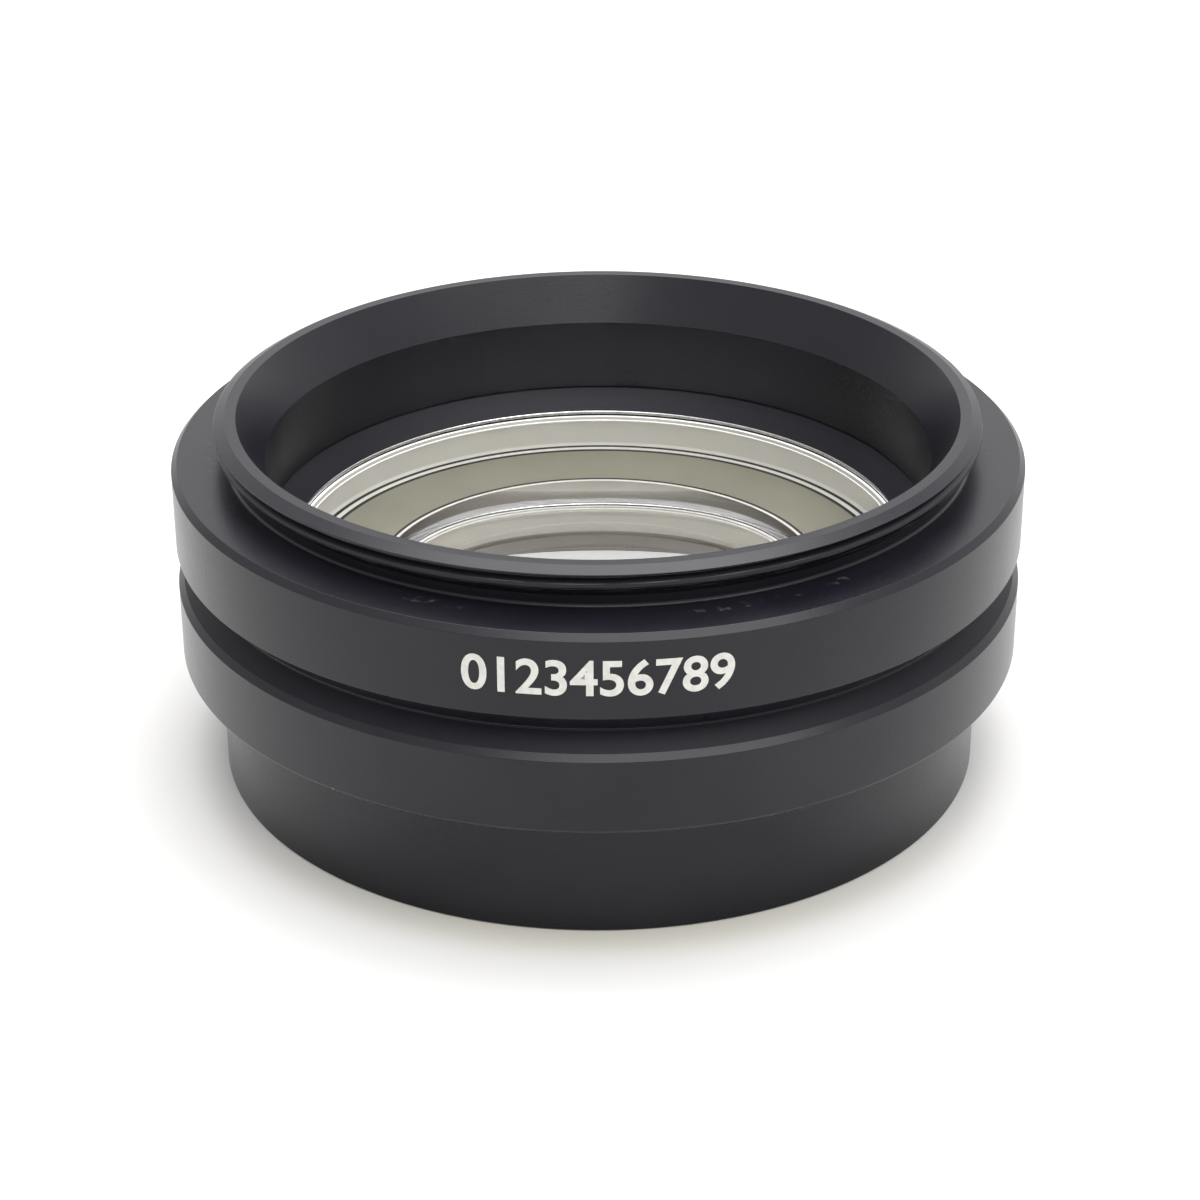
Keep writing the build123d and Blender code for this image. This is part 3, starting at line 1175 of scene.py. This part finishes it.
@dataclass
class Numbers:
    """Row of plain numbers, filled with white paint, around the front of the mount ring."""

    wall_radius: float
    text: str = "0123456789"
    low: float = 23.0
    high: float = 26.1
    start: float = math.radians(-16.7)
    end: float = math.radians(16.5)
    boldness: float = 0.018
    depth: float = 0.03
    slice_width: float = 0.25

    def flat(self) -> bpy.types.Mesh:
        """Returns the row of numbers as a flat closed mesh in text units."""
        curve = bpy.data.curves.new("numbers", "FONT")
        curve.body = self.text
        curve.extrude = self.depth / 2
        curve.offset = self.boldness
        curve.resolution_u = 8
        carrier = bpy.data.objects.new("numbers", curve)
        bpy.context.scene.collection.objects.link(carrier)
        bpy.context.view_layer.update()
        mesh = bpy.data.meshes.new_from_object(carrier.evaluated_get(bpy.context.evaluated_depsgraph_get()))
        bpy.data.objects.remove(carrier)
        return mesh

    def make(self) -> bpy.types.Object:
        """Fits the row to its room and bends it around the wall.

        The row's length becomes an angle from the start to the end, its height a height
        on the wall, and its thickness a depth below the wall's radius.

        Returns:
            The piece.
        """
        mesh = self.flat()
        flat = np.zeros(len(mesh.vertices) * 3)
        mesh.vertices.foreach_get("co", flat)
        flat = flat.reshape(-1, 3)
        low, span = flat.min(axis=0), np.ptp(flat, axis=0)
        length = (self.end - self.start) * self.wall_radius
        fitted = (flat - low) / span * np.array([length, self.high - self.low, self.depth])
        mesh.vertices.foreach_set("co", fitted.ravel())
        work = bmesh.new()
        work.from_mesh(mesh)
        bmesh.ops.remove_doubles(work, verts=work.verts, dist=1e-5)
        for cut in np.arange(self.slice_width, length, self.slice_width):
            bmesh.ops.bisect_plane(
                work, geom=work.verts[:] + work.edges[:] + work.faces[:],
                plane_co=(float(cut), 0.0, 0.0), plane_no=(1.0, 0.0, 0.0),
            )
        bmesh.ops.recalc_face_normals(work, faces=work.faces)
        work.to_mesh(mesh)
        work.free()
        flat = np.zeros(len(mesh.vertices) * 3)
        mesh.vertices.foreach_get("co", flat)
        along, up, thick = flat.reshape(-1, 3).T
        angle = self.start + along / self.wall_radius - math.pi / 2
        radius = self.wall_radius - self.depth + thick
        bent = np.stack([radius * np.cos(angle), radius * np.sin(angle), self.low + up], axis=1)
        mesh.vertices.foreach_set("co", (bent * MM).ravel())
        mesh.materials.clear()
        mesh.materials.append(FINISHES[Zone.PAINT].material(Zone.PAINT.value))
        mesh.update()
        piece = bpy.data.objects.new("ring_numbers", mesh)
        bpy.context.scene.collection.objects.link(piece)
        return piece


class Objective:
    """The whole objective: its pieces in the order in which they are made."""

    @staticmethod
    def _take(piece: bpy.types.Object, node: str | None) -> None:
        """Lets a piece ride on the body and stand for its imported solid.

        Args:
            piece: the finished piece.
            node: the solid that it stands for, if any.
        """
        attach(piece, ROOT)
        if node:
            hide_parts(node)
        log.info("%s: %d faces", piece.name, len(piece.data.polygons))

    def make(self) -> None:
        """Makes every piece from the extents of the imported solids."""
        size = {name: Extent.of(name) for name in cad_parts}
        barrel = Barrel(
            size["barrel"], size["upper_lens"], size["lower_lens"],
            size["upper_retaining_ring"], size["lower_retaining_ring"],
        )
        mount = MountRing(
            size["mount_ring"],
            bore=size["upper_retaining_ring"].radius - 0.15,
            counterbore=barrel.collar_radius + barrel.clearance,
            counterbore_height=size["barrel"].high + barrel.clearance,
        )
        self._take(mount.make(), "mount_ring")
        self._take(Numbers(size["mount_ring"].radius - 0.002).make(), None)
        self._take(barrel.make(), "barrel")
        makers = {
            "upper_retaining_ring": UpperRing(size["upper_retaining_ring"], size["upper_lens"]),
            "lower_retaining_ring": LowerRing(size["lower_retaining_ring"], size["lower_lens"]),
            "upper_lens": UpperLens(size["upper_lens"]),
            "lower_lens": LowerLens(size["lower_lens"]),
        }
        for node, maker in makers.items():
            self._take(maker.make(), node)


# Studio


@dataclass(frozen=True)
class Softbox:
    """Square soft lamp that faces the object.

    Its power is pi times its area times its radiance, so the radiance is what a mirror
    would show of it.
    """

    name: str
    azimuth: float  # degrees from the front towards +X
    elevation: float
    distance: float
    size: float
    radiance: float

    def place(self) -> None:
        """Puts the lamp into the scene."""
        turn, tilt = math.radians(self.azimuth), math.radians(self.elevation)
        way = Vector((math.sin(turn) * math.cos(tilt), -math.cos(turn) * math.cos(tilt), math.sin(tilt)))
        lamp = bpy.data.lights.new(self.name, "AREA")
        lamp.shape = "SQUARE"
        lamp.size = self.size
        lamp.energy = math.pi * self.size**2 * self.radiance
        carrier = bpy.data.objects.new(self.name, lamp)
        carrier.location = way * self.distance
        carrier.rotation_mode = "QUATERNION"
        carrier.rotation_quaternion = way.to_track_quat("Z", "Y")
        bpy.context.scene.collection.objects.link(carrier)


@dataclass(frozen=True)
class Camera:
    """Camera that takes the photograph's view.

    The focal length is in pixels of the 1200 pixel wide frame, and the place, pitch and
    roll were solved from the circular edges of the object.
    """

    focal_pixels: float = 2973.7
    frame_pixels: float = 1200.0
    sensor: float = 36.0
    place: tuple[float, float, float] = (0.111, -232.618, 130.181)
    pitch: float = 0.466935
    roll: float = -0.003975

    def make(self) -> None:
        """Creates the camera and gives it to the scene."""
        right = Vector((1.0, 0.0, 0.0))
        up = Vector((0.0, math.sin(self.pitch), math.cos(self.pitch)))
        back = Vector((0.0, -math.cos(self.pitch), math.sin(self.pitch)))
        rolled_right = math.cos(self.roll) * right + math.sin(self.roll) * up
        rolled_up = math.cos(self.roll) * up - math.sin(self.roll) * right
        data = bpy.data.cameras.new("camera")
        data.sensor_width = self.sensor
        data.lens = self.focal_pixels / self.frame_pixels * self.sensor
        data.clip_start, data.clip_end = 0.01, 20.0
        camera = bpy.data.objects.new("camera", data)
        axes = Matrix((rolled_right, rolled_up, back)).transposed()
        camera.matrix_world = Matrix.Translation(Vector(self.place) * MM) @ axes.to_4x4()
        bpy.context.scene.collection.objects.link(camera)
        bpy.context.scene.camera = camera


@dataclass(frozen=True)
class Studio:
    """White table, white surroundings and soft lamps."""

    floor_size: float = 3.0
    floor_drop: float = 0.00002
    floor_tone: Colour = (0.70, 0.695, 0.685)
    # colour of the painted shadow on the table just in front of the foot
    front_shadow_tone: Colour = (0.60, 0.58, 0.49)
    lift: float = 0.085  # light that the white table adds where it is looked at
    window: float = 0.46  # more of it where the table is seen through the lenses
    side_gleam: float = 0.2  # and where the sides of the barrel mirror it
    sky: float = 0.60  # light of the surroundings on the object
    mirrored: float = 0.92  # light of the surroundings in reflections
    right_rise: float = 0.2  # how much brighter the right side is in reflections
    back_rise: float = 0.28  # and the far side
    front_shadow_side: Reach = (-0.01, -0.04)  # where the painted shadow in front of the foot starts and ends, along Y
    front_shadow_reach: Reach = (0.0385, 0.0335)  # reach of the warm painted shadow on the table, out from the axis
    under_reach: Reach = (0.0252, 0.0245)  # the table inside the foot
    beside_side: Reach = (0.022, 0.032)  # the table to the left and right, along X
    beside_reach: Reach = (0.10, 0.06)
    back_side: Reach = (0.5, 0.95)  # the far part of the surroundings
    lamps: Sequence[Softbox] = (
        Softbox("softbox_right", 28.0, 71.0, 0.8, 0.80, 3.35),
        Softbox("softbox_behind", 180.0, 68.0, 0.8, 0.58, 4.5),
    )

    def make_floor(self) -> None:
        """Lays the table: lit as it is, and lifted to white where it is seen."""
        half = self.floor_size / 2
        mesh = bpy.data.meshes.new("table")
        corners = [(-half, -half), (half, -half), (half, half), (-half, half)]
        mesh.from_pydata([(x, y, -self.floor_drop) for x, y in corners], [], [(0, 1, 2, 3)])
        material = bpy.data.materials.new("white_table")
        material.use_nodes = True
        sheet = Sheet(material.node_tree)
        path = sheet.node("ShaderNodeLightPath")
        seen = Term(sheet, path.outputs["Is Camera Ray"])
        through = Term(sheet, path.outputs["Is Transmission Ray"])
        glossy = Term(sheet, path.outputs["Is Glossy Ray"])
        x, y, _ = sheet.place()
        radius = (x * x + y * y) ** 0.5
        # darker, warmer table colour in front of the foot: a painted shadow
        front_shadow = y.ramp(*self.front_shadow_side) * radius.ramp(*self.front_shadow_reach)
        paper = sheet.node("ShaderNodeBsdfDiffuse", None, {
            "Color": sheet.blend(front_shadow, self.floor_tone, self.front_shadow_tone),
        })
        under = radius.ramp(*self.under_reach)
        beside = abs(x).ramp(*self.beside_side) * radius.ramp(*self.beside_reach)
        added = seen * self.lift + (through + glossy * under) * self.window
        added = added + glossy * beside * self.side_gleam
        glow = sheet.node("ShaderNodeEmission", None, {"Color": (*WHITE, 1.0), "Strength": added})
        both = sheet.node("ShaderNodeAddShader", None, {0: paper.outputs[0], 1: glow.outputs[0]})
        sheet.finish(both.outputs[0])
        mesh.materials.append(material)
        floor = bpy.data.objects.new("table", mesh)
        bpy.context.scene.collection.objects.link(floor)

    def make_sky(self) -> None:
        """Surrounds the scene with white, seen at full strength and shining at the plain level."""
        world = bpy.data.worlds.new("surroundings")
        bpy.context.scene.world = world
        world.use_nodes = True
        sheet = Sheet(world.node_tree)
        path = sheet.node("ShaderNodeLightPath")
        seen = Term(sheet, path.outputs["Is Camera Ray"])
        glossy = Term(sheet, path.outputs["Is Glossy Ray"])
        through = Term(sheet, path.outputs["Is Transmission Ray"])
        way = sheet.node("ShaderNodeTexCoord").outputs["Generated"]
        parts = sheet.node("ShaderNodeSeparateXYZ", None, {0: way})
        right, back = Term(sheet, parts.outputs[0]), Term(sheet, parts.outputs[1])
        mirrored = self.mirrored + right * self.right_rise + back.ramp(*self.back_side) * self.back_rise
        white = (seen + through).at_most(1.0)
        strength = (self.sky + glossy * (mirrored - self.sky)) * (1.0 - white) + white
        glow = sheet.node("ShaderNodeBackground", None, {"Color": (*WHITE, 1.0), "Strength": strength})
        sheet.node("ShaderNodeOutputWorld", None, {"Surface": glow.outputs[0]})

    def make(self) -> None:
        """Builds the table, the surroundings and the lamps."""
        self.make_floor()
        self.make_sky()
        for lamp in self.lamps:
            lamp.place()
        bpy.context.scene.view_settings.view_transform = "Standard"


def main() -> None:
    """Makes the objective and its studio."""
    logging.basicConfig(level=logging.INFO, format="%(name)s: %(message)s")
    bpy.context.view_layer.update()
    Objective().make()
    Studio().make()
    Camera().make()


if __name__ == "__main__":
    main()
